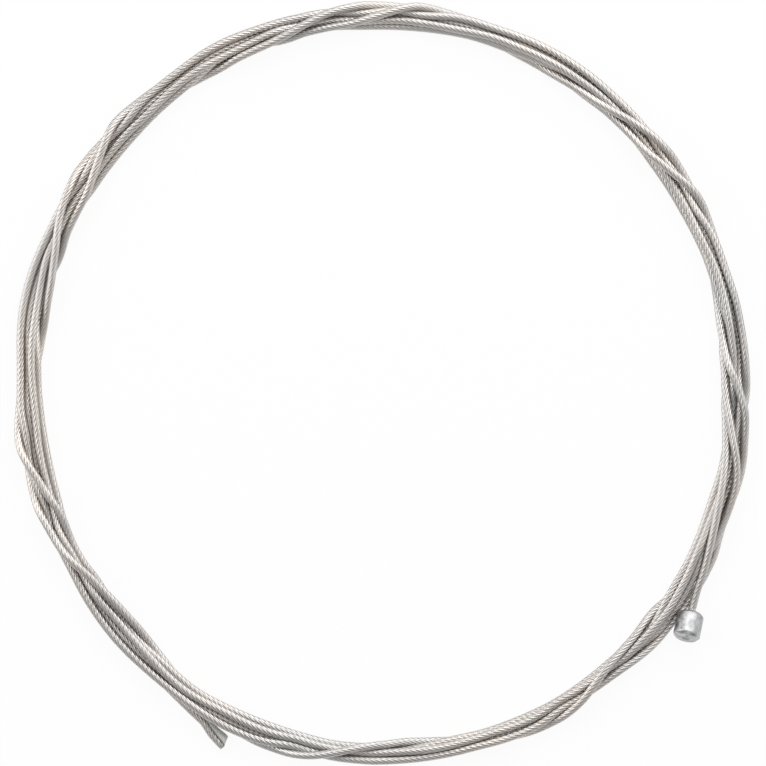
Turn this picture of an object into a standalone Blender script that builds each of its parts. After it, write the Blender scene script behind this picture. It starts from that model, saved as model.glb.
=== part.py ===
"""Bicycle shift cable, coiled: one stranded steel wire with a barrel head cast on its start.

The coil lies on the plane z = 0 with its middle over the origin. Seen from above, +X points
right and +Y up. The wire leaves the barrel head at the coil's lower right, runs round the coil
anticlockwise, and its crushed cut end stands off the coil at the lower left.

A place beside the coil is a bearing, a clear distance and a height. The bearing is the angle
round the coil's oval from +X, the clear distance lies between the coil's outer side and the
near side of the wire, and the height is that of the wire's middle. All sizes are in metres.
"""

import math

import bmesh
import bpy
from mathutils import Vector

# The coil, with all of the wire's turns as one ring
COIL_LENGTH = 0.1144
COIL_WIDTH = 0.1102
BUNDLE_WIDTH = 0.0034
BUNDLE_HEIGHT = 0.0034
BUNDLE_FLAT = 0.0018
COIL_STEPS = 96
BUNDLE_POINTS = 15

# The wire and the room that touching pieces keep
WIRE_DIAMETER = 0.0012
FIT_GAP = 0.0003

# The barrel head, and how it lies beside the coil
HEAD_DIAMETER = 0.0040
HEAD_LENGTH = 0.0040
HEAD_CHAMFER = 0.0004
HEAD_COLLAR_DIAMETER = 0.0020
HEAD_COLLAR_HEIGHT = 0.0002
HEAD_DIMPLE_DIAMETER = 0.0014
HEAD_DIMPLE_DEPTH = 0.0002
HEAD_STEPS = 32
HEAD_BEARING = math.radians(-37.5)
HEAD_TOE_IN = math.radians(22.5)
HEAD_TILT = math.radians(25.0)

# The wire between the head and the coil: bearing in degrees, clear distance, height
LEAD_STRAIGHT = 0.0010
LEAD_ROUTE = [
    (-33.7, 0.00060, 0.00112),
    (-32.4, 0.00034, 0.00118),
    (-31.0, 0.00022, 0.00135),
]
LEAD_STEP = 0.0006

# The wire's free end, which the cutter crushed: bearing in degrees, clear distance, height
TAIL_ROUTE = [
    (241.7, 0.00018, 0.00115),
    (242.7, 0.00056, 0.00104),
    (243.8, 0.00094, 0.00092),
    (244.6, 0.00124, 0.00086),
    (245.5, 0.00155, 0.00082),
]
TAIL_SPREAD = 0.0022
TAIL_THICKNESS = 0.0009
TAIL_SLANT = math.radians(22.0)
TAIL_GROOVE_WIDTH = 0.00022
TAIL_GROOVE_DEPTH = 0.00030
TAIL_STEP = 0.0004
TAIL_POINTS = 24

# Finishes: bare galvanised strand, the same where the cutter smeared it, and cast zinc
STRAND_COLOUR = (0.62, 0.61, 0.59)
STRAND_ROUGHNESS = 0.35
CRUSHED_COLOUR = (0.58, 0.58, 0.56)
CRUSHED_ROUGHNESS = 0.40
ZINC_COLOUR = (0.68, 0.69, 0.70)
ZINC_ROUGHNESS = 0.30

# Meshing: what counts as one point, and as a sharp edge
MERGE_DISTANCE = 0.000005
SHARP_ANGLE = math.radians(50.0)

UP = Vector((0.0, 0.0, 1.0))


def clear_scene():
    for obj in list(bpy.data.objects):
        bpy.data.objects.remove(obj, do_unlink=True)


def make_metal(name, colour, roughness):
    metal = bpy.data.materials.new(name)
    metal.use_nodes = True
    shader = metal.node_tree.nodes["Principled BSDF"]
    shader.inputs["Base Color"].default_value = (*colour, 1.0)
    shader.inputs["Metallic"].default_value = 1.0
    shader.inputs["Roughness"].default_value = roughness
    return metal


def add_object(name, data, collection, material):
    obj = bpy.data.objects.new(name, data)
    collection.objects.link(obj)
    data.materials.append(material)
    return obj


def turn_profile(obj, steps):
    """Turns the object's open or closed profile once round its own Z axis."""
    screw = obj.modifiers.new("turned", "SCREW")
    screw.steps = steps
    screw.render_steps = steps
    screw.use_merge_vertices = True
    screw.merge_threshold = MERGE_DISTANCE
    screw.use_smooth_shade = True


def profile_mesh(name, points, closed):
    """A mesh with one edge line through points in the XZ plane."""
    mesh = bpy.data.meshes.new(name)
    edges = [(i, i + 1) for i in range(len(points) - 1)]
    if closed:
        edges.append((len(points) - 1, 0))
    mesh.from_pydata([(x, 0.0, z) for x, z in points], edges, [])
    return mesh


def bundle_outline():
    """The bundle's section, an oval cut flat underneath: from its inner foot over its top."""
    cut_share = math.sqrt(1.0 - (BUNDLE_FLAT / BUNDLE_WIDTH) ** 2)
    half_width = BUNDLE_WIDTH / 2.0
    half_height = BUNDLE_HEIGHT / (1.0 + cut_share)
    outer_foot = -math.asin(cut_share)
    inner_foot = math.pi - outer_foot
    points = []
    for i in range(BUNDLE_POINTS):
        angle = inner_foot + (outer_foot - inner_foot) * i / (BUNDLE_POINTS - 1)
        height = half_height * (cut_share + math.sin(angle))
        points.append((half_width * math.cos(angle), height))
    return points


def make_coil(collection, material):
    """All turns of the wire as one turned ring, drawn in across its width to the coil's oval."""
    middle = (COIL_LENGTH - BUNDLE_WIDTH) / 2.0
    points = [(middle + across, height) for across, height in bundle_outline()]
    coil = add_object("wire_coil", profile_mesh("wire_coil", points, True), collection, material)
    coil.scale = (COIL_WIDTH / COIL_LENGTH, 1.0, 1.0)
    turn_profile(coil, COIL_STEPS)


def beside_coil(bearing, outward, height):
    """The point at this distance outside the coil's outer side."""
    half_width = COIL_WIDTH / 2.0 + outward
    half_length = COIL_LENGTH / 2.0 + outward
    return Vector((half_width * math.cos(bearing), half_length * math.sin(bearing), height))


def outward_from_coil(bearing):
    across = Vector((math.cos(bearing) / COIL_WIDTH, math.sin(bearing) / COIL_LENGTH, 0.0))
    return across.normalized()


def wire_point(place):
    bearing, clear, height = place
    return beside_coil(math.radians(bearing), clear + WIRE_DIAMETER / 2.0, height)


def head_axis():
    """The way that the wire leaves the head: along the coil, towards it, and down."""
    outward = outward_from_coil(HEAD_BEARING)
    along = UP.cross(outward)
    level = along * math.cos(HEAD_TOE_IN) - outward * math.sin(HEAD_TOE_IN)
    return level * math.cos(HEAD_TILT) - UP * math.sin(HEAD_TILT)


def head_reach(direction):
    """How far the barrel reaches from its middle in this direction."""
    along = abs(head_axis().dot(direction))
    across = math.sqrt(1.0 - along**2)
    radius, half_length = HEAD_DIAMETER / 2.0, HEAD_LENGTH / 2.0
    side = across * radius + along * (half_length - HEAD_CHAMFER)
    end = across * (radius - HEAD_CHAMFER) + along * half_length
    return max(side, end)


def head_middle():
    """The barrel lies on the plane that carries the coil, a gap outside the coil."""
    outward = FIT_GAP + head_reach(outward_from_coil(HEAD_BEARING))
    return beside_coil(HEAD_BEARING, outward, head_reach(UP))


def head_outline():
    """From the collar that the wire leaves, down the barrel, to the dimple in its far end."""
    radius, half_length = HEAD_DIAMETER / 2.0, HEAD_LENGTH / 2.0
    return [
        (0.0, half_length + HEAD_COLLAR_HEIGHT),
        (HEAD_COLLAR_DIAMETER / 2.0, half_length + HEAD_COLLAR_HEIGHT),
        (HEAD_COLLAR_DIAMETER / 2.0, half_length),
        (radius - HEAD_CHAMFER, half_length),
        (radius, half_length - HEAD_CHAMFER),
        (radius, HEAD_CHAMFER - half_length),
        (radius - HEAD_CHAMFER, -half_length),
        (HEAD_DIMPLE_DIAMETER / 2.0, -half_length),
        (0.0, HEAD_DIMPLE_DEPTH - half_length),
    ]


def make_head(collection, material):
    mesh = profile_mesh("cable_head", head_outline(), False)
    head = add_object("cable_head", mesh, collection, material)
    head.location = head_middle()
    head.rotation_mode = "QUATERNION"
    head.rotation_quaternion = UP.rotation_difference(head_axis())
    turn_profile(head, HEAD_STEPS)


def smooth_route(points, step):
    """Points about one step apart on a smooth curve through the given ones."""
    ends = [points[0] * 2.0 - points[1], *points, points[-1] * 2.0 - points[-2]]
    route = []
    for before, start, end, after in zip(ends, ends[1:], ends[2:], ends[3:]):
        count = max(1, round((end - start).length / step))
        for i in range(count):
            share = i / count
            bend = start * 2.0 + (end - before) * share
            bend += (before * 2.0 - start * 5.0 + end * 4.0 - after) * share**2
            bend += (start * 3.0 - before - end * 3.0 + after) * share**3
            route.append(bend / 2.0)
    return [*route, points[-1]]


def make_lead(collection, material):
    """The wire from the head's collar to the coil's outer side."""
    axis = head_axis()
    start = head_middle() + axis * (HEAD_LENGTH / 2.0 + HEAD_COLLAR_HEIGHT + FIT_GAP)
    route = [start + axis * LEAD_STRAIGHT * share for share in (0.0, 0.5, 1.0)]
    route += [wire_point(place) for place in LEAD_ROUTE]
    points = smooth_route(route, LEAD_STEP)
    curve = bpy.data.curves.new("wire_lead", "CURVE")
    curve.dimensions = "3D"
    curve.bevel_depth = WIRE_DIAMETER / 2.0
    curve.bevel_resolution = 2
    curve.use_fill_caps = True
    spline = curve.splines.new("POLY")
    spline.points.add(len(points) - 1)
    for spline_point, point in zip(spline.points, points):
        spline_point.co = (*point, 1.0)
    add_object("wire_lead", curve, collection, material)


def tail_section(share):
    """The crushed wire's section: (sideways, upwards) pairs, round at 0 and spread at 1."""
    spread = share**1.5
    half_width = (WIRE_DIAMETER * (1.0 - spread) + TAIL_SPREAD * spread) / 2.0
    half_height = (WIRE_DIAMETER * (1.0 - spread) + TAIL_THICKNESS * spread) / 2.0
    section = []
    for i in range(TAIL_POINTS):
        angle = 2.0 * math.pi * i / TAIL_POINTS
        sideways = half_width * math.cos(angle)
        upwards = half_height * math.sin(angle)
        if upwards > 0.0:
            groove = math.exp(-((sideways / TAIL_GROOVE_WIDTH) ** 2))
            upwards -= TAIL_GROOVE_DEPTH * share * groove
        section.append((sideways, upwards))
    return section


def tail_ring(shape, route, i):
    """The tail's section set across its route at one of its points."""
    share = i / (len(route) - 1)
    after = route[min(i + 1, len(route) - 1)]
    before = route[max(i - 1, 0)]
    along = (after - before).normalized()
    outward = along.cross(UP).normalized()
    upward = outward.cross(along)
    ring = []
    for sideways, upwards in tail_section(share):
        slant = sideways * math.tan(TAIL_SLANT) * share**2
        place = route[i] + outward * sideways + upward * upwards + along * slant
        ring.append(shape.verts.new(place))
    return ring


def make_tail(collection, material):
    """The wire's free end: round beside the coil, spread and grooved at its slanted cut."""
    route = smooth_route([wire_point(place) for place in TAIL_ROUTE], TAIL_STEP)
    shape = bmesh.new()
    rings = [tail_ring(shape, route, i) for i in range(len(route))]
    for ring, following in zip(rings, rings[1:]):
        for i in range(TAIL_POINTS):
            j = (i + 1) % TAIL_POINTS
            shape.faces.new((ring[i], ring[j], following[j], following[i]))
    shape.faces.new(rings[0])
    shape.faces.new(rings[-1])
    bmesh.ops.recalc_face_normals(shape, faces=shape.faces)
    mesh = bpy.data.meshes.new("wire_tail")
    shape.to_mesh(mesh)
    shape.free()
    add_object("wire_tail", mesh, collection, material)
    mesh.shade_smooth()
    mesh.set_sharp_from_angle(angle=SHARP_ANGLE)


def main():
    clear_scene()
    collection = bpy.data.collections.new("shift_cable")
    bpy.context.scene.collection.children.link(collection)
    make_coil(collection, make_metal("coiled_strand", STRAND_COLOUR, STRAND_ROUGHNESS))
    make_lead(collection, make_metal("lead_strand", STRAND_COLOUR, STRAND_ROUGHNESS))
    make_tail(collection, make_metal("crushed_strand", CRUSHED_COLOUR, CRUSHED_ROUGHNESS))
    make_head(collection, make_metal("cast_zinc", ZINC_COLOUR, ZINC_ROUGHNESS))


main()
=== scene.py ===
"""Coiled bicycle shift cable: one stranded steel wire with a zinc barrel head on its start.

The wire leaves the head at the coil's lower right and runs anticlockwise. It lies in four plain
turns first and is then wound round and round them for 1.8 more. Its crushed cut end stands off
the coil at the lower left. Lengths are in metres. A bearing is the angle round the oval from +X.
"""
import math

import bmesh
import bpy
import numpy as np
from mathutils import Matrix, Quaternion, Vector


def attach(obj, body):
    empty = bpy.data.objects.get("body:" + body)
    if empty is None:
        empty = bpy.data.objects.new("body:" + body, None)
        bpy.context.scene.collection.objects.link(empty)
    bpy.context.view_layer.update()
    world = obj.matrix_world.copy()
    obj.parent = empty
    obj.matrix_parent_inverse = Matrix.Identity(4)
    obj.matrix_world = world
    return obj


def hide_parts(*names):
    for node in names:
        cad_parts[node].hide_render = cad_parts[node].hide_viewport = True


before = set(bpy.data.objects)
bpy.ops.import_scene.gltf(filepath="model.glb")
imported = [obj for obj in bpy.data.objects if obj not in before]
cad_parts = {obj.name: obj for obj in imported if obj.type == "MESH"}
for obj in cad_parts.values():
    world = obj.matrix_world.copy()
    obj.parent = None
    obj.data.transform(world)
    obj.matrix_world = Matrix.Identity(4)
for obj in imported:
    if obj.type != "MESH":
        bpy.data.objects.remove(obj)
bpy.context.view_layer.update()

# The coil's oval and the wire, as the part's source has them
COIL_LENGTH = 0.1144
COIL_WIDTH = 0.1102
BUNDLE_WIDTH = 0.0034
WIRE_DIAMETER = 0.0012
UP = Vector((0.0, 0.0, 1.0))

# The head's middle and the way that the wire leaves it, and the head's sizes
HEAD_MIDDLE = Vector((0.0458802, -0.0364835, 0.0024888))
HEAD_AXIS = Vector((0.218797949, 0.879500575, -0.422618262))
HEAD_DIAMETER = 0.0040
HEAD_LENGTH = 0.0040
HEAD_CHAMFER = 0.0004
COLLAR_DIAMETER = 0.0020
COLLAR_HEIGHT = 0.0002
LEAD_STRAIGHT = 0.0010
HEAD_STEPS = 64
HEAD_SHARP_ANGLE = math.radians(14.0)
MERGE_DISTANCE = 0.000002

# The head's outline. The sprue dimple in its far end: distance from the axis, depth.
DIMPLE = [
    (0.0, 0.00010),
    (0.00016, 0.00008),
    (0.00022, 0.00020),
    (0.00055, 0.00018),
    (0.00072, 0.00002),
    (0.00080, 0.0),
]
# A chamfer with softened edges: how far in from the side and from the end, in chamfers
CHAMFER_STEPS = [(1.1, 0.0), (0.85, 0.10), (0.10, 0.85), (0.0, 1.15)]
# The collar: how far outside its radius, share of its height
COLLAR_STEPS = [(0.00004, 0.0), (-0.00002, 0.25), (-0.00004, 0.85), (-0.00012, 1.0)]
# The rim and bottom of the seat round the wire: how far outside its radius, share of the collar
SEAT_STEPS = [(0.00004, 1.0), (-0.00006, 0.40)]

# The casting's marks: the seam along its two sides, the trimmed corner, the flat and the notch
SEAM_HEIGHT = 0.00003
SEAM_SLACK = 0.00001
SEAM_FROM_AXIS = HEAD_DIAMETER * 0.49
GATE_CUT = 0.00010
GATE_WAY = (-0.45, 0.0, -0.89)
FLAT_DEPTH = 0.00009
FLAT_ANGLE = math.radians(39.0)
NOTCH_FROM_AXIS = HEAD_DIAMETER * 0.44
NOTCH_REACH = 0.00032
NOTCH_DEPTH = 0.00016

# The part's routes beside the coil: bearing in degrees, clear distance, height
LEAD_ROUTE = [
    (-33.7, 0.00060, 0.00112),
    (-32.4, 0.00034, 0.00118),
    (-31.0, 0.00022, 0.00135),
]
TAIL_ROUTE = [
    (241.7, 0.00018, 0.00115),
    (242.7, 0.00056, 0.00104),
    (243.8, 0.00094, 0.00092),
    (244.6, 0.00124, 0.00086),
    (245.5, 0.00155, 0.00082),
]

# The lead rides over the outer turn just after the head: how far out and up it is moved there
LEAD_MOVED = [(0.00004, 0.00050), (-0.00008, 0.00062), (-0.00036, 0.00072)]

# How far outside the crushed end's middle the strand that is still round runs
STRAND_ASIDE = [0.00042, 0.00072, 0.00086, 0.00088, 0.00100]

# Where the wire lies in the bundle just after the head and just before the cut end: bearing in
# degrees, then out from the bundle's middle line and up, in wire diameters. That line runs half
# the bundle's width inside the coil's outer side. The second list's bearings leave out the whole
# turns before them, and both lists ease into the winding over some degrees.
FIRST_PLACES = [
    (-29.8, 1.32, 1.90),
    (-27.5, 0.85, 2.25),
    (-24.2, 0.36, 2.55),
    (-20.0, 0.00, 2.66),
    (-15.0, -0.45, 2.55),
    (-10.0, -0.89, 2.20),
    (-5.0, -1.25, 1.70),
    (0.0, -1.45, 1.25),
    (5.0, -1.35, 0.90),
]
LAST_PLACES = [
    (235.0, 0.80, 0.75),
    (237.5, 1.22, 0.78),
    (239.8, 1.85, 0.88),
]
WHOLE_TURNS = 5.0
FIRST_EASE = 14.0
LAST_EASE = 8.0

# The wire's bearings in the coil, a degree apart, and from where to where it moves freely: the
# bearing, and the degrees that the change takes
TURN = 360
BEARINGS = (-33.0, 2045.5)
FREE_FROM = (-28.0, 4.0)
FREE_UNTIL = (2036.0, 5.0)

# How the bundle is wound. After four plain turns the wire winds round them: the bearings, counted
# on from turn to turn, and the times that it has gone round, starting low on the coil's outer
# side. It goes over the top faster than beneath: the first share of its way takes it round by the
# second.
PLAIN_UNTIL = 1395.0
WINDING = [
    (1429.0, 0.0), (1473.0, 1.0), (1530.0, 2.0), (1583.5, 3.0), (1635.8, 4.0), (1691.5, 5.0),
    (1736.0, 6.0), (1779.0, 7.0), (1822.0, 8.0), (1876.6, 9.0), (1930.0, 10.0), (1982.8, 11.0),
    (2037.0, 12.0),
]
COMES_UP_ANGLE = math.radians(-35.0)
OVER_THE_TOP = (0.42, 0.60)
WOUND_SPREAD = (1.85, 1.05)
BUNDLE_MIDDLE = 1.42

# The fourth turn's way out beneath the lead and back: bearing, then out and up in wire diameters.
# It eases in and out over some degrees, and starts to ease out later by a share of them.
UNDER_LEAD = [
    (1392.0, 1.40, 0.50), (1398.0, 1.45, 0.50), (1402.5, 1.60, 0.50), (1404.8, 2.05, 0.50),
    (1406.3, 2.35, 0.50), (1408.3, 2.35, 0.50), (1410.5, 2.20, 0.52), (1414.0, 1.90, 0.52),
    (1418.0, 1.60, 0.52),
]
UNDER_EASE = 5.0
UNDER_LATER = 0.6

# The four plain turns lie side by side, every second one higher. Each moves one place outwards
# as it comes round to these bearings.
PLAIN_SPREAD = (0.95, 0.36)
MOVES_OUT = [352.0, 718.0, 1083.0]
MOVE_LENGTH = 26.0

# The turns sway sideways a little: how far, in wire diameters, and how fast the two waves run
SWAY = 0.13
SWAY_PACES = (3.1, 0.83)

# The bundle along its oval: bearing in degrees, then how far outside its middle line its middle
# really lies, and how far from there the middles of its outermost wires lie, in wire diameters.
# Between its entries it is rounded off over a few degrees.
BUNDLE = [
    (0.0, -0.30, 1.30), (8.0, -0.30, 1.28), (19.0, -0.36, 0.68), (28.0, -0.44, 1.28),
    (36.0, -0.43, 1.18), (45.0, -0.48, 0.82), (58.0, -0.38, 1.16), (66.0, -0.42, 1.02),
    (74.0, -0.42, 0.76), (85.0, -0.20, 1.34), (92.0, -0.22, 1.26), (100.0, -0.18, 0.74),
    (112.0, -0.12, 1.25), (118.0, -0.05, 1.20), (126.0, -0.12, 0.95), (138.0, -0.08, 1.56),
    (146.0, 0.02, 1.28), (154.0, 0.05, 0.80), (166.0, 0.16, 1.54), (180.0, -0.20, 0.90),
    (189.0, 0.0, 1.78), (200.0, -0.12, 1.20), (208.0, -0.22, 0.50), (220.0, -0.36, 1.62),
    (227.0, -0.35, 1.30), (232.0, 0.0, 0.95), (237.0, 0.30, 0.72), (243.0, 0.28, 1.0),
    (251.0, 0.40, 1.40), (264.0, 0.30, 0.64), (272.0, 0.06, 1.16), (286.0, 0.14, 0.56),
    (296.0, 0.64, 1.10), (308.0, 0.22, 0.52), (315.0, 0.55, 1.10), (321.0, 0.74, 1.50),
    (327.0, 0.70, 1.70), (332.0, 0.68, 1.25), (340.0, 0.16, 1.05), (346.0, 0.40, 1.42),
    (354.0, -0.10, 1.10), (360.0, -0.30, 1.30),
]
ROUNDED_OVER = np.arange(-3.0, 3.5, 1.0)

# How the turns settle. In each round every bit is pulled to its wanted place, less so in the last
# rounds, it is straightened, and neighbours push each other apart. The bundle's width squeezes the
# turns together too, between two bearings and not where one lies beneath the lead.
SETTLING_ROUNDS = 500
LAST_ROUNDS_FROM = SETTLING_ROUNDS * 0.7
PULL = 0.05
LAST_PULL = 0.012
STRAIGHTENING = 0.22
SQUEEZE = 0.25
SQUEEZED_BETWEEN = (-8.0, 2025.0)
SQUEEZED_AFTER_LEAD = UNDER_LEAD[-2][0] - 1.5
PUSHES = 3
PUSH = 0.6
ON_THE_FLOOR = 0.5

# The strand: nine outer wires laid right-handed, thinner towards its cut by distance and share
OUTER_WIRES = 9
LAY_LENGTH = 0.0076
GROOVE = 0.82
SHOULDER_SPREAD = math.radians(10.5)
RING_STEP = 0.00056
CURVE_STEPS = 8
THINNER = [(0.0, 0.68), (RING_STEP, 0.80), (0.0035, 1.0)]

# The crushed half of the cut end: middle, half width and half height of its sections, from where
# it leaves the round half to its slanted cut
CRUSHED = [
    ((-0.02855, -0.04880, 0.00104), 0.00016, 0.00026),
    ((-0.02765, -0.04975, 0.00102), 0.00028, 0.00042),
    ((-0.02675, -0.05068, 0.00098), 0.00037, 0.00044),
    ((-0.02588, -0.05158, 0.00092), 0.00047, 0.00040),
    ((-0.02500, -0.05250, 0.00088), 0.00060, 0.00034),
    ((-0.02410, -0.05342, 0.00084), 0.00077, 0.00029),
    ((-0.02364, -0.05402, 0.00082), 0.00090, 0.00026),
]
CRUSHED_SLANT = math.radians(-30.0)
CRUSHED_ROLL = math.radians(-14.0)
CRUSHED_SIDES = 20
CRUSHED_ROUNDING = 0.00007
CRUSHED_SHARP_ANGLE = math.radians(50.0)

# Its painted shade in the groove along the round half: share of the half width where it starts, and
# how steeply
CRUSHED_GROOVE_SHADE_AT = 0.62
CRUSHED_GROOVE_SHADE_SLOPE = 2.4

# The softboxes: place, power
SOFTBOX_SIZE = 0.50
SOFTBOXES = [
    ((-0.18, 0.46, 0.38), 0.66),
    ((0.13, 0.33, 0.27), 1.24),
    ((-0.50, 0.08, 0.28), 1.45),
    ((0.50, 0.08, 0.28), 0.55),
]
SKY_LIGHT = 0.45
FLOOR_GLOW = 0.93
FLOOR_HALF_SIZE = 3.0

# The camera straight above the coil
CAMERA_HEIGHT = 0.6017
CAMERA_LENS = 187.5


def beside_coil(bearing, outward, height):
    """A point by its bearing in radians, its distance outside the coil's side, its height."""
    across = (COIL_WIDTH / 2.0 + outward) * math.cos(bearing)
    along = (COIL_LENGTH / 2.0 + outward) * math.sin(bearing)
    return Vector((across, along, height))


def in_bundle(bearing, out, up):
    """A point by its bearing in degrees and its place in the bundle in wire diameters."""
    outward = out * WIRE_DIAMETER - BUNDLE_WIDTH / 2.0
    return beside_coil(math.radians(bearing), outward, up * WIRE_DIAMETER)


def place_in_bundle(place):
    """A route's place as bearing in degrees, then out and up in wire diameters."""
    bearing, clear, height = place
    out = (clear + BUNDLE_WIDTH / 2.0) / WIRE_DIAMETER + 0.5
    return bearing, out, height / WIRE_DIAMETER


def along_oval(bearing, column):
    """One column of the bundle's list at these bearings, rounded off between its entries."""
    places = np.array(BUNDLE)
    around = np.mod(np.asarray(bearing)[..., None] + ROUNDED_OVER, 360.0)
    return np.interp(around, places[:, 0], places[:, column]).mean(axis=-1)


def wander(bearing):
    """How far out the bundle's middle lies at these bearings, in wire diameters."""
    return along_oval(bearing, 1)


def reach_at(bearing):
    """How far sideways the wires' middles may lie in the bundle, in wire diameters."""
    return along_oval(bearing, 2)


def lifted_lead():
    """The lead's route with its moves out and up."""
    moves = zip(LEAD_ROUTE, LEAD_MOVED)
    return [(bearing, clear + out, high + up) for (bearing, clear, high), (out, up) in moves]


def strand_tail():
    """The tail's route for the half of the cut end that is still a round strand."""
    return [(b, clear + aside, up) for (b, clear, up), aside in zip(TAIL_ROUTE, STRAND_ASIDE)]


def ease(share):
    """A share from 0 to 1 that starts and ends gently."""
    share = np.clip(share, 0.0, 1.0)
    return share * share * (3.0 - 2.0 * share)


def winding_angle(bearing):
    """How far the winding wire has gone round the bundle, from its outer side over the top."""
    places = np.array(WINDING)
    turns = np.interp(bearing, places[:, 0], places[:, 1])
    whole = np.floor(turns)
    part = np.interp(turns - whole, (0.0, OVER_THE_TOP[0], 1.0), (0.0, OVER_THE_TOP[1], 1.0))
    return (whole + part) * 2.0 * math.pi + COMES_UP_ANGLE


def listed_place(bearing, places, row):
    """Out (row 0) or up (row 1) as a list gives it, with out counted from the bundle's middle."""
    there = np.interp(bearing, places[:, 0], places[:, row + 1])
    return there - wander(bearing) * (1 - row)


def blend(one, other, share):
    """One value that gives way to the other as the share grows from 0 to 1."""
    return one * (1.0 - share) + other * share


def wanted_places(bearing):
    """Where each bit of wire would like to lie, before its neighbours push it aside."""
    moved = sum(ease((bearing - start) / MOVE_LENGTH + 0.5) for start in MOVES_OUT)
    across = PLAIN_SPREAD[0] * reach_at(bearing) * (moved / (len(MOVES_OUT) / 2.0) - 1.0)
    plain = np.stack([across, -PLAIN_SPREAD[1] * np.cos(math.pi * moved)])
    angle = winding_angle(bearing)
    wound = np.array(WOUND_SPREAD)[:, None] * np.stack([np.cos(angle), np.sin(angle)])
    share = ease((bearing - PLAIN_UNTIL) / (WINDING[0][0] - PLAIN_UNTIL))
    want = blend(plain, wound, share)
    want[1] += BUNDLE_MIDDLE
    quick, slow = (np.sin(np.radians(bearing * pace)) for pace in SWAY_PACES)
    want[0] += SWAY * quick * slow
    under = np.array(UNDER_LEAD)
    first = np.array([place_in_bundle(p) for p in lifted_lead()] + FIRST_PLACES)
    last = np.array(LAST_PLACES + [place_in_bundle(p) for p in strand_tail()])
    last += (TURN * WHOLE_TURNS, 0.0, 0.0)
    leaving = (under[-1, 0] - bearing) / UNDER_EASE + UNDER_LATER
    is_under = ease((bearing - under[0, 0]) / UNDER_EASE) * ease(leaving)
    past_first = ease((bearing - first[-1, 0]) / FIRST_EASE)
    in_last = ease((bearing - last[0, 0] + LAST_EASE) / LAST_EASE)
    for row in (0, 1):
        want[row] = blend(want[row], listed_place(bearing, under, row), is_under)
        want[row] = blend(listed_place(bearing, first, row), want[row], past_first)
        want[row] = blend(want[row], listed_place(bearing, last, row), in_last)
    return want


def push_apart(spot):
    """How the turns that lie nearer than a diameter push each other."""
    length = spot.shape[1]
    turns = math.ceil(length / TURN)
    push = np.zeros_like(spot)
    for a in range(turns):
        for b in range(a + 1, turns):
            count = min(TURN, length - b * TURN)
            one = slice(a * TURN, a * TURN + count)
            two = slice(b * TURN, b * TURN + count)
            apart = spot[:, two] - spot[:, one]
            gap = np.hypot(apart[0], apart[1])
            shove = np.maximum(0.0, 1.0 - gap) * 0.5 / np.maximum(gap, 1e-6)
            push[:, one] -= apart * shove
            push[:, two] += apart * shove
    return push


def settle(bearing, want, hold):
    """Lets the turns push each other a diameter apart, stay on the floor and bend smoothly."""
    spot = want.copy()
    reach = reach_at(bearing)
    free = 1.0 - ease(hold)
    squeezed = (bearing > SQUEEZED_BETWEEN[0]) & (bearing < SQUEEZED_BETWEEN[1])
    squeezed &= (bearing < UNDER_LEAD[1][0]) | (bearing > SQUEEZED_AFTER_LEAD)
    for step in range(SETTLING_ROUNDS):
        pull = PULL if step < LAST_ROUNDS_FROM else LAST_PULL
        move = pull * (want - spot)
        bend = np.zeros_like(spot)
        bend[:, 1:-1] = spot[:, 2:] + spot[:, :-2] - 2.0 * spot[:, 1:-1]
        move += STRAIGHTENING * bend
        over = np.maximum(np.abs(spot[0]) - reach, 0.0) * np.sign(spot[0])
        move[0] -= SQUEEZE * over * squeezed
        spot += move * free
        for _ in range(PUSHES):
            spot += PUSH * push_apart(spot) * free
            spot[1] = np.maximum(spot[1], ON_THE_FLOOR)
    return spot


def smooth_points(points, step):
    """Points a step apart along a smooth curve (Catmull-Rom) through the given ones."""
    points = np.asarray(points)
    ends = np.vstack([2 * points[0] - points[1], points, 2 * points[-1] - points[-2]])
    share = np.linspace(0.0, 1.0, CURVE_STEPS, endpoint=False)[:, None, None]
    before, start, end, after = ends[:-3], ends[1:-2], ends[2:-1], ends[3:]
    bend = start * 2.0 + (end - before) * share
    bend = bend + (before * 2.0 - start * 5.0 + end * 4.0 - after) * share**2
    bend = bend + (start * 3.0 - before - end * 3.0 + after) * share**3
    fine = (bend / 2.0).transpose(1, 0, 2).reshape(-1, 3)
    fine = np.vstack([fine, points[-1]])
    gone = np.concatenate([[0.0], np.cumsum(np.linalg.norm(np.diff(fine, axis=0), axis=1))])
    count = round(gone[-1] / step)
    even = np.linspace(0.0, gone[-1], count + 1)
    return np.stack([np.interp(even, gone, fine[:, k]) for k in range(3)], axis=1)


def wire_course():
    """The whole wire's middle line, from the head's collar to the crushed end."""
    start = HEAD_MIDDLE + HEAD_AXIS * HEAD_LENGTH / 2.0
    straight = [start + HEAD_AXIS * LEAD_STRAIGHT * share for share in (-0.5, 0.0, 0.5)]
    bearing = np.arange(*BEARINGS, 1.0)
    held_start = (FREE_FROM[0] - bearing) / FREE_FROM[1]
    held_end = (bearing - FREE_UNTIL[0]) / FREE_UNTIL[1]
    out, up = settle(bearing, wanted_places(bearing), np.maximum(held_start, held_end))
    out = out + wander(bearing)
    turns = [in_bundle(b, o, u) for b, o, u in zip(bearing, out, up)]
    tail = place_in_bundle(strand_tail()[-1])
    points = [*straight, *turns, in_bundle(*tail)]
    return smooth_points([tuple(p) for p in points], RING_STEP)


def frames_along(points):
    """Directions across and upright at each point, carried on without a twist."""
    along = np.gradient(points, axis=0)
    along /= np.linalg.norm(along, axis=1)[:, None]
    across = np.zeros_like(along)
    side = np.cross(along[0], UP)
    for i, direction in enumerate(along):
        side = side - direction * side.dot(direction)
        side = side / np.linalg.norm(side)
        across[i] = side
    return across, np.cross(across, along)


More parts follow.
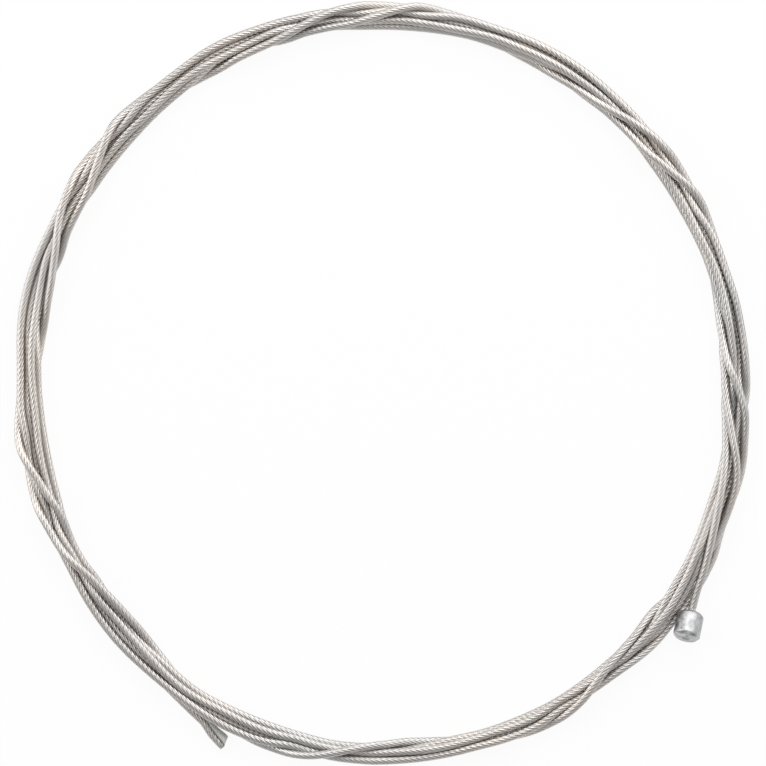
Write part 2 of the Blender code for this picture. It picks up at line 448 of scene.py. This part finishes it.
def strand_section():
    """Angle, share of the radius and groove mark of each point round the strand; the groove mark
    carries the painted shade between its outer wires.
    """
    section = []
    lobe = 2.0 * math.pi / OUTER_WIRES
    for i in range(OUTER_WIRES):
        middle = (i + 0.5) * lobe
        section += [(i * lobe, GROOVE, 1.0)]
        section += [(middle - SHOULDER_SPREAD, 1.0, 0.0), (middle + SHOULDER_SPREAD, 1.0, 0.0)]
    return np.array(section).T


def make_wire(points):
    """The stranded wire as one tube whose outer wires turn with the lay."""
    across, upright = frames_along(points)
    angle, share, groove = strand_section()
    gone = np.arange(len(points)) * np.linalg.norm(points[1] - points[0])
    turn = angle[None, :] - 2.0 * math.pi * gone[:, None] / LAY_LENGTH
    thin = np.interp(gone[-1] - gone, *zip(*THINNER))
    radius = WIRE_DIAMETER / 2.0 * share[None, :, None] * thin[:, None, None]
    ring = np.cos(turn)[..., None] * across[:, None] + np.sin(turn)[..., None] * upright[:, None]
    verts = points[:, None] + ring * radius
    rings, sides = verts.shape[:2]
    first = np.arange(rings - 1)[:, None] * sides
    i = np.arange(sides)[None, :]
    j = (i + 1) % sides
    faces = np.stack([first + i, first + sides + i, first + sides + j, first + j], axis=-1)
    faces = faces.reshape(-1, 4).tolist()
    faces.append(list(range(sides)))
    faces.append([(rings - 1) * sides + k for k in range(sides)][::-1])
    mesh = bpy.data.meshes.new("stranded_wire")
    mesh.from_pydata(verts.reshape(-1, 3).tolist(), [], faces)
    # The groove mark, 1 in the grooves and 0 on the shoulders, places the painted shade between the
    # outer wires.
    mark = mesh.attributes.new("groove", "FLOAT", "POINT")
    mark.data.foreach_set("value", np.tile(groove, rings).astype(np.float32))
    mesh.shade_smooth()
    wire = bpy.data.objects.new("stranded_wire", mesh)
    bpy.context.collection.objects.link(wire)
    return wire


def in_frame(middle, across, up, along):
    """The matrix that sets a shape drawn round the origin at middle, with Z along the last way."""
    turn = Matrix((across, up, along)).transposed().to_4x4()
    return Matrix.Translation(middle) @ turn


def finish_piece(bm, name, sharp_angle):
    """Makes the shape a smooth-shaded object whose edges past the angle stay sharp."""
    bmesh.ops.recalc_face_normals(bm, faces=bm.faces)
    mesh = bpy.data.meshes.new(name)
    bm.to_mesh(mesh)
    bm.free()
    mesh.shade_smooth()
    mesh.set_sharp_from_angle(angle=sharp_angle)
    piece = bpy.data.objects.new(name, mesh)
    bpy.context.collection.objects.link(piece)
    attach(piece, "root")
    return piece


def head_outline():
    """Distance from the head's axis and place along it, from the far end's middle to the collar."""
    radius, half, chamfer = HEAD_DIAMETER / 2.0, HEAD_LENGTH / 2.0, HEAD_CHAMFER
    collar, wire = COLLAR_DIAMETER / 2.0, WIRE_DIAMETER / 2.0
    edge = [(radius - chamfer * side, chamfer * end - half) for side, end in CHAMFER_STEPS]
    outline = [(out, depth - half) for out, depth in DIMPLE] + edge
    outline += [(out, -along) for out, along in reversed(edge)]
    outline += [(collar + out, half + COLLAR_HEIGHT * up) for out, up in COLLAR_STEPS]
    outline += [(wire + out, half + COLLAR_HEIGHT * up) for out, up in SEAT_STEPS]
    return outline + [(0.0, outline[-1][1])]


def cut_off(bm, place, way):
    """Cuts away what lies beyond a plane and closes the cut."""
    bmesh.ops.bisect_plane(
        bm, geom=bm.verts[:] + bm.edges[:] + bm.faces[:], plane_co=place, plane_no=way,
        clear_outer=True,
    )
    bmesh.ops.holes_fill(bm, edges=[e for e in bm.edges if e.is_boundary])


def make_head():
    """The cast barrel: collar, chamfers, sprue dimple, mould seam, notch, trimmed corner, flat."""
    bm = bmesh.new()
    points = [bm.verts.new((out, 0.0, along)) for out, along in head_outline()]
    edges = [bm.edges.new(pair) for pair in zip(points, points[1:])]
    bmesh.ops.spin(
        bm, geom=points + edges, cent=(0.0, 0.0, 0.0), axis=UP, dvec=(0.0, 0.0, 0.0),
        angle=2.0 * math.pi, steps=HEAD_STEPS, use_merge=True, use_duplicate=False,
    )
    bmesh.ops.remove_doubles(bm, verts=bm.verts, dist=MERGE_DISTANCE)
    seam = [v for v in bm.verts if abs(v.co.y) < SEAM_SLACK and abs(v.co.x) > SEAM_FROM_AXIS]
    for vert in seam:
        vert.co.x += math.copysign(SEAM_HEIGHT, vert.co.x)
    notch = Vector((0.0, -NOTCH_FROM_AXIS, -HEAD_LENGTH / 2.0))
    for vert in bm.verts:
        if (vert.co - notch).length < NOTCH_REACH:
            vert.co.y += NOTCH_DEPTH
            vert.co.z += NOTCH_DEPTH
    gate_way = Vector(GATE_WAY).normalized()
    corner = Vector((HEAD_CHAMFER - HEAD_DIAMETER, 0.0, HEAD_CHAMFER - HEAD_LENGTH)) / 2.0
    cut_off(bm, corner - gate_way * GATE_CUT, gate_way)
    flat_way = Vector((math.sin(FLAT_ANGLE), -math.cos(FLAT_ANGLE), 0.0))
    cut_off(bm, flat_way * (HEAD_DIAMETER / 2.0 - FLAT_DEPTH), flat_way)
    across = HEAD_AXIS.cross(UP).normalized()
    stand = in_frame(HEAD_MIDDLE, across, HEAD_AXIS.cross(across), HEAD_AXIS)
    bmesh.ops.transform(bm, matrix=stand, verts=bm.verts)
    return finish_piece(bm, "barrel_head", HEAD_SHARP_ANGLE)


def crushed_frames():
    """Where each section of the crushed half stands, and how wide and high it is."""
    frames = []
    for i, (middle, half_width, half_height) in enumerate(CRUSHED):
        before = Vector(CRUSHED[max(i - 1, 0)][0])
        after = Vector(CRUSHED[min(i + 1, len(CRUSHED) - 1)][0])
        along = (after - before).normalized()
        slant = CRUSHED_SLANT * (i / (len(CRUSHED) - 1)) ** 2
        along = Quaternion(UP, -slant) @ along
        across = Quaternion(along, CRUSHED_ROLL) @ along.cross(UP).normalized()
        size = Matrix.Diagonal((half_width, half_height, 1.0, 1.0))
        frames.append(in_frame(Vector(middle), across, along.cross(across), along) @ size)
    return frames


def rim_of(end):
    """The edges round an end, which is one face in a list."""
    return [edge for face in end for edge in face.edges]


def make_crushed_half():
    """The half of the cut end that the cutter flattened, spread from the strand's side."""
    frames = crushed_frames()
    bm = bmesh.new()
    # The groove mark places painted shade in the crease where the flattened half meets the round
    # strand.
    groove = bm.verts.layers.float.new("groove")
    bmesh.ops.create_circle(bm, cap_ends=True, segments=CRUSHED_SIDES, radius=1.0)
    for vert in bm.verts:
        depth = 0.5 + CRUSHED_GROOVE_SHADE_SLOPE * (vert.co.x - CRUSHED_GROOVE_SHADE_AT)
        vert[groove] = float(ease(depth))
    bmesh.ops.transform(bm, matrix=frames[0], verts=bm.verts)
    end = bm.faces[:]
    for before, after in zip(frames, frames[1:]):
        grown = bmesh.ops.extrude_face_region(
            bm, geom=end + rim_of(end), use_keep_orig=before is frames[0]
        )["geom"]
        end = [part for part in grown if isinstance(part, bmesh.types.BMFace)]
        moved = [part for part in grown if isinstance(part, bmesh.types.BMVert)]
        bmesh.ops.transform(bm, matrix=after @ before.inverted(), verts=moved)
    bmesh.ops.bevel(
        bm, geom=rim_of(end), offset=CRUSHED_ROUNDING, offset_type="OFFSET", segments=2,
        profile=0.5, affect="EDGES", material=-1,
    )
    return finish_piece(bm, "crushed_half", CRUSHED_SHARP_ANGLE)


def new_material(name, colour, roughness, metallic):
    """A material with its nodes, its links and its shader."""
    material = bpy.data.materials.new(name)
    material.use_nodes = True
    shader = material.node_tree.nodes["Principled BSDF"]
    shader.inputs["Base Color"].default_value = (*colour, 1.0)
    shader.inputs["Roughness"].default_value = roughness
    shader.inputs["Metallic"].default_value = metallic
    return material, material.node_tree.nodes, material.node_tree.links, shader


def add_noise(nodes, links, scale, detail):
    """A noise over the object's own coordinates."""
    where = nodes.new("ShaderNodeTexCoord")
    noise = nodes.new("ShaderNodeTexNoise")
    noise.inputs["Scale"].default_value = scale
    noise.inputs["Detail"].default_value = detail
    links.new(where.outputs["Object"], noise.inputs["Vector"])
    return noise.outputs["Fac"]


def add_tones(nodes, links, value, low, high):
    """Colours between two stops, each a position and a colour."""
    tones = nodes.new("ShaderNodeValToRGB")
    for element, (position, colour) in zip(tones.color_ramp.elements, (low, high)):
        element.position = position
        element.color = (*colour, 1.0)
    links.new(value, tones.inputs["Fac"])
    return tones.outputs["Color"]


def painted_groove_shade(nodes, links, low, high):
    """Painted shade: colours between two stops over the mesh's groove mark, darker in the groove.
    """
    groove = nodes.new("ShaderNodeAttribute")
    groove.attribute_name = "groove"
    return add_tones(nodes, links, groove.outputs["Fac"], low, high)


def multiply(nodes, links, one, other):
    """Two colours multiplied."""
    both = nodes.new("ShaderNodeMix")
    both.data_type = "RGBA"
    both.blend_type = "MULTIPLY"
    both.inputs[0].default_value = 1.0
    links.new(one, both.inputs[6])
    links.new(other, both.inputs[7])
    return both.outputs[2]


def vary_roughness(nodes, links, shader, value, low, high):
    """Roughness that follows a noise's middle range from low to high."""
    level = nodes.new("ShaderNodeMapRange")
    level.inputs["From Min"].default_value = 0.3
    level.inputs["From Max"].default_value = 0.7
    level.inputs["To Min"].default_value = low
    level.inputs["To Max"].default_value = high
    links.new(value, level.inputs["Value"])
    links.new(level.outputs["Result"], shader.inputs["Roughness"])


def add_bumps(nodes, links, shader, value, strength, height):
    """Small bumps of a height in metres."""
    bumps = nodes.new("ShaderNodeBump")
    bumps.inputs["Strength"].default_value = strength
    bumps.inputs["Distance"].default_value = height
    links.new(value, bumps.inputs["Height"])
    links.new(bumps.outputs["Normal"], shader.inputs["Normal"])


def strand_steel():
    """Galvanised strand: grey steel, with painted shade in the grooves between its wires."""
    material, nodes, links, shader = new_material(
        "strand_steel", (0.66, 0.64, 0.62), roughness=0.38, metallic=1.0
    )
    # Painted shade: the colour darkens towards the grooves between the outer wires, where shade
    # falls.
    depth = painted_groove_shade(nodes, links, (0.28, (0.74, 0.71, 0.68)), (0.92, (0.33, 0.30, 0.275)))
    drift = add_noise(nodes, links, scale=45.0, detail=3.0)
    tint = add_tones(nodes, links, drift, (0.35, (0.86, 0.88, 0.90)), (0.65, (1.0, 0.97, 0.95)))
    links.new(multiply(nodes, links, depth, tint), shader.inputs["Base Color"])
    rubbed = add_noise(nodes, links, scale=700.0, detail=2.0)
    vary_roughness(nodes, links, shader, rubbed, low=0.30, high=0.42)
    return material


def crushed_steel():
    """The same steel smeared smooth by the cutter, duller and faintly mottled, with painted shade
    in the groove by the round strand.
    """
    material, nodes, links, shader = new_material(
        "crushed_steel", (0.80, 0.81, 0.77), roughness=0.58, metallic=0.7
    )
    # Painted shade: the colour darkens towards the groove by the round strand.
    depth = painted_groove_shade(nodes, links, (0.10, (0.82, 0.83, 0.79)), (0.90, (0.24, 0.225, 0.205)))
    smears = add_noise(nodes, links, scale=2200.0, detail=3.0)
    tint = add_tones(nodes, links, smears, (0.35, (0.84, 0.85, 0.84)), (0.65, (1.0, 1.0, 1.0)))
    links.new(multiply(nodes, links, depth, tint), shader.inputs["Base Color"])
    vary_roughness(nodes, links, shader, smears, low=0.52, high=0.64)
    add_bumps(nodes, links, shader, smears, strength=0.35, height=0.00006)
    return material


def cast_zinc():
    """Die-cast zinc: satin grey, mottled, with the faint ripples of its casting."""
    material, nodes, links, shader = new_material(
        "cast_zinc", (0.60, 0.60, 0.60), roughness=0.32, metallic=1.0
    )
    clouds = add_noise(nodes, links, scale=1100.0, detail=4.0)
    tone = add_tones(nodes, links, clouds, (0.36, (0.36, 0.365, 0.37)), (0.64, (0.60, 0.60, 0.60)))
    links.new(tone, shader.inputs["Base Color"])
    vary_roughness(nodes, links, shader, clouds, low=0.32, high=0.46)
    ripples = add_noise(nodes, links, scale=1700.0, detail=2.0)
    add_bumps(nodes, links, shader, ripples, strength=0.5, height=0.00008)
    return material


def add_math(nodes, links, operation, one, other):
    """One reckoning step over an output and another output or a number."""
    step = nodes.new("ShaderNodeMath")
    step.operation = operation
    links.new(one, step.inputs[0])
    if isinstance(other, float):
        step.inputs[1].default_value = other
    else:
        links.new(other, step.inputs[1])
    return step.outputs[0]


def make_floor():
    """A plain white floor, white in the metal too, that keeps the cable's soft shadow."""
    mesh = bpy.data.meshes.new("floor")
    bm = bmesh.new()
    bmesh.ops.create_grid(bm, x_segments=1, y_segments=1, size=FLOOR_HALF_SIZE)
    bm.to_mesh(mesh)
    bm.free()
    floor = bpy.data.objects.new("floor", mesh)
    bpy.context.collection.objects.link(floor)
    material, nodes, links, shader = new_material(
        "white_floor", (0.9, 0.9, 0.9), roughness=0.8, metallic=0.0
    )
    glow = nodes.new("ShaderNodeEmission")
    ray = nodes.new("ShaderNodeLightPath").outputs
    seen = add_math(nodes, links, "MAXIMUM", ray["Is Camera Ray"], ray["Is Glossy Ray"])
    seen = add_math(nodes, links, "MAXIMUM", seen, ray["Is Transmission Ray"])
    seen = add_math(nodes, links, "MULTIPLY", seen, FLOOR_GLOW)
    mix = nodes.new("ShaderNodeMixShader")
    links.new(seen, mix.inputs[0])
    links.new(shader.outputs[0], mix.inputs[1])
    links.new(glow.outputs[0], mix.inputs[2])
    links.new(mix.outputs[0], nodes["Material Output"].inputs["Surface"])
    mesh.materials.append(material)


def make_light():
    """Softboxes round the coil under a sky that is white to the camera and dimmer as a light."""
    world = bpy.data.worlds.new("studio")
    bpy.context.scene.world = world
    world.use_nodes = True
    nodes, links = world.node_tree.nodes, world.node_tree.links
    sky = nodes["Background"]
    sky.inputs["Color"].default_value = (1.0, 1.0, 1.0, 1.0)
    ray = nodes.new("ShaderNodeLightPath")
    level = nodes.new("ShaderNodeMapRange")
    level.inputs["To Min"].default_value = SKY_LIGHT
    level.inputs["To Max"].default_value = 1.0
    links.new(ray.outputs["Is Camera Ray"], level.inputs["Value"])
    links.new(level.outputs["Result"], sky.inputs["Strength"])
    for place, energy in SOFTBOXES:
        lamp = bpy.data.lights.new("softbox", "AREA")
        lamp.shape = "SQUARE"
        lamp.size = SOFTBOX_SIZE
        lamp.energy = energy
        box = bpy.data.objects.new("softbox", lamp)
        box.location = place
        box.rotation_mode = "QUATERNION"
        box.rotation_quaternion = box.location.to_track_quat("Z", "Y")
        bpy.context.collection.objects.link(box)


def make_camera():
    """Straight above the coil, as the photograph was taken."""
    lens = bpy.data.cameras.new("camera")
    lens.lens = CAMERA_LENS
    lens.sensor_width = 36.0
    lens.clip_start = 0.01
    camera = bpy.data.objects.new("camera", lens)
    camera.location = (0.0, 0.0, CAMERA_HEIGHT)
    bpy.context.collection.objects.link(camera)
    bpy.context.scene.camera = camera


bpy.context.scene.view_settings.view_transform = "Standard"
make_camera()
course = wire_course()
wire = make_wire(course)
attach(wire, "root")
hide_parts("wire_coil", "wire_lead", "wire_tail")
wire.data.materials.append(strand_steel())
crushed = make_crushed_half()
crushed.data.materials.append(crushed_steel())
head = make_head()
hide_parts("cable_head")
head.data.materials.append(cast_zinc())
make_floor()
make_light()
